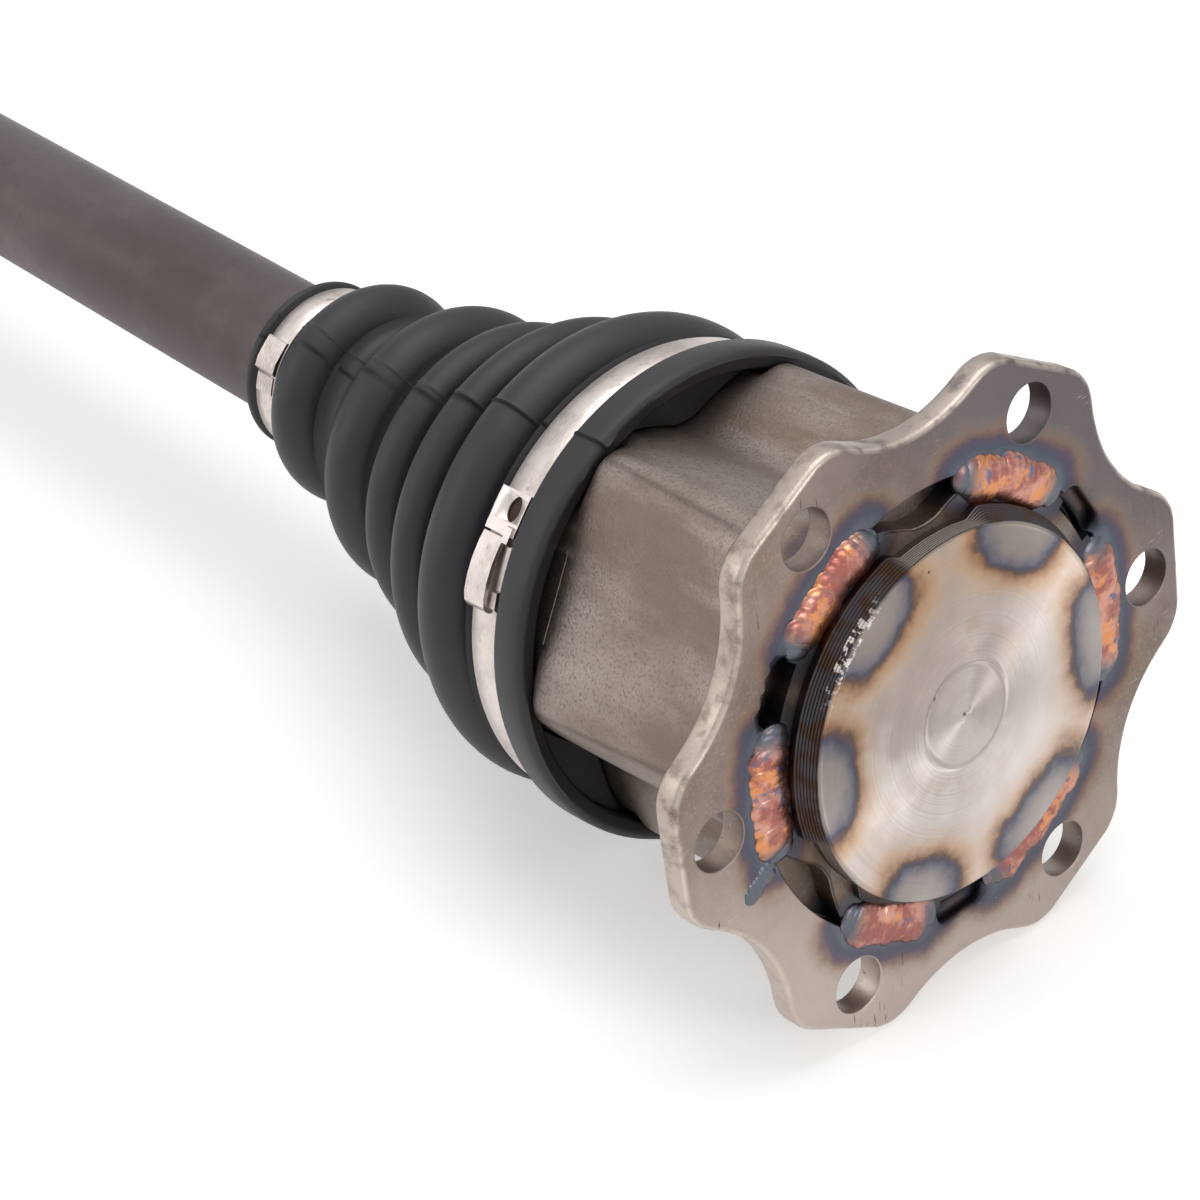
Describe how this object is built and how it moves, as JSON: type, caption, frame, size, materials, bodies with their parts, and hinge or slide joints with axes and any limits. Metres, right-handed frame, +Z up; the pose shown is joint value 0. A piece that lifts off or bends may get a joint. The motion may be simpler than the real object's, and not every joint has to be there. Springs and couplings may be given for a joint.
{
  "type": "axle shaft",
  "caption": "Drive axle shaft: bar with a flanged plunging tripod joint under a rubber bellows boot at one end, ball joint bell and splined stub at the other.",
  "frame": {"origin": "centre of the end face of the boss that stands out of the adapter flange", "axes": "+X along the bar towards the flanged end, +Z up, as the axle lies at rest"},
  "size_m": [0.5404, 0.1012, 0.0952],
  "materials": {
    "flange_steel": "worn, heat-tinted near the welds",
    "forged_steel": "satin forged skin with brown stains",
    "weld_metal": "rippled, copper and blue tint",
    "bar_steel": "dark oxide",
    "bearing_steel": "ground",
    "clamp_steel": "bright strip",
    "boot_rubber": "matte moulded"
  },
  "bodies": {
    "axle": {"bar_shaft": "bar_steel", "spider": "forged_steel", "spider_circlip": "bearing_steel", "inner_ring_1": "bearing_steel", "needle_row_1": "bearing_steel", "inner_ring_3": "bearing_steel", "needle_row_3": "bearing_steel", "inner_race": "bearing_steel", "race_circlip": "bearing_steel", "inner_boot_narrow_clamp": "clamp_steel", "outer_boot_narrow_clamp": "clamp_steel"},
    "lower_ring": {"inner_ring_2": "bearing_steel", "needle_row_2": "bearing_steel"},
    "lower_roller": {"roller_2": "bearing_steel"},
    "flanged_housing": {"adapter_flange": "flange_steel", "tripod_housing": "forged_steel", "inner_boot_wide_clamp": "clamp_steel", "inner_boot": "boot_rubber", "weld_bead_1": "weld_metal", "weld_bead_2": "weld_metal", "weld_bead_3": "weld_metal", "weld_bead_4": "weld_metal", "weld_bead_5": "weld_metal", "weld_bead_6": "weld_metal"},
    "side_roller_1": {"roller_1": "bearing_steel"},
    "side_roller_3": {"roller_3": "bearing_steel"},
    "outer_bell": {"outer_joint_bell": "forged_steel", "outer_boot_wide_clamp": "clamp_steel", "outer_boot": "boot_rubber"},
    "cage": {"ball_cage": "bearing_steel"},
    "ball_carrier_1": {"ball_1": "bearing_steel"},
    "ball_carrier_2": {"ball_2": "bearing_steel"},
    "ball_carrier_3": {"ball_3": "bearing_steel"},
    "ball_carrier_4": {"ball_4": "bearing_steel"},
    "ball_carrier_5": {"ball_5": "bearing_steel"},
    "ball_carrier_6": {"ball_6": "bearing_steel"}
  },
  "joints": [
    {"name": "inner_joint_tilt", "type": "hinge", "parent": "axle", "child": "lower_ring", "pos_m": [-0.04005, 0, -0.0258], "axis": [0, 1, 0], "range_deg": [-7, 17]},
    {"name": "inner_joint_swing", "type": "hinge", "parent": "lower_ring", "child": "lower_roller", "pos_m": [-0.04005, 0, -0.0258], "axis": [-0.0872, 0, 0.9962], "range_deg": [-12, 12]},
    {"name": "inner_joint_plunge", "type": "slide", "parent": "lower_roller", "child": "flanged_housing", "axis": [0.9962, 0, 0.0872], "range_m": [-0.003, 0.01], "deforming": ["inner_boot"]},
    {"name": "roller_1_spin", "type": "hinge", "parent": "axle", "child": "side_roller_1", "pos_m": [-0.04005, 0.01931, 0.00765], "axis": [0, 0.866, 0.5], "continuous": true},
    {"name": "roller_3_spin", "type": "hinge", "parent": "axle", "child": "side_roller_3", "pos_m": [-0.04005, -0.01931, 0.00765], "axis": [0, -0.866, 0.5], "continuous": true},
    {"name": "outer_joint_bend", "type": "hinge", "parent": "axle", "child": "outer_bell", "pos_m": [-0.42005, 0, -0.0035], "axis": [0, 1, 0], "range_deg": [-40, 40], "deforming": ["outer_boot"]},
    {"name": "cage_half_turn", "type": "hinge", "parent": "axle", "child": "cage", "pos_m": [-0.42005, 0, -0.0035], "axis": [0, 1, 0], "range_deg": [-20, 20]},
    {"name": "ball_1_travel", "type": "hinge", "parent": "outer_bell", "child": "ball_carrier_1", "pos_m": [-0.41705, 0, -0.0035], "axis": [0, 1, 0], "range_deg": [-20, 20]},
    {"name": "ball_2_travel", "type": "hinge", "parent": "outer_bell", "child": "ball_carrier_2", "pos_m": [-0.41705, 0, -0.0035], "axis": [0, 0.5, -0.866], "range_deg": [-10, 10]},
    {"name": "ball_3_travel", "type": "hinge", "parent": "outer_bell", "child": "ball_carrier_3", "pos_m": [-0.41705, 0, -0.0035], "axis": [0, -0.5, -0.866], "range_deg": [-10, 10]},
    {"name": "ball_4_travel", "type": "hinge", "parent": "outer_bell", "child": "ball_carrier_4", "pos_m": [-0.41705, 0, -0.0035], "axis": [0, -1, 0], "range_deg": [-20, 20]},
    {"name": "ball_5_travel", "type": "hinge", "parent": "outer_bell", "child": "ball_carrier_5", "pos_m": [-0.41705, 0, -0.0035], "axis": [0, -0.5, 0.866], "range_deg": [-10, 10]},
    {"name": "ball_6_travel", "type": "hinge", "parent": "outer_bell", "child": "ball_carrier_6", "pos_m": [-0.41705, 0, -0.0035], "axis": [0, 0.5, 0.866], "range_deg": [-10, 10]}
  ],
  "couplings": [
    {"joint": "cage_half_turn", "follows": "outer_joint_bend", "ratio": 0.5},
    {"joint": "ball_1_travel", "follows": "outer_joint_bend", "ratio": -0.5},
    {"joint": "ball_2_travel", "follows": "outer_joint_bend", "ratio": -0.25},
    {"joint": "ball_3_travel", "follows": "outer_joint_bend", "ratio": 0.25},
    {"joint": "ball_4_travel", "follows": "outer_joint_bend", "ratio": 0.5},
    {"joint": "ball_5_travel", "follows": "outer_joint_bend", "ratio": 0.25},
    {"joint": "ball_6_travel", "follows": "outer_joint_bend", "ratio": -0.25}
  ]
}
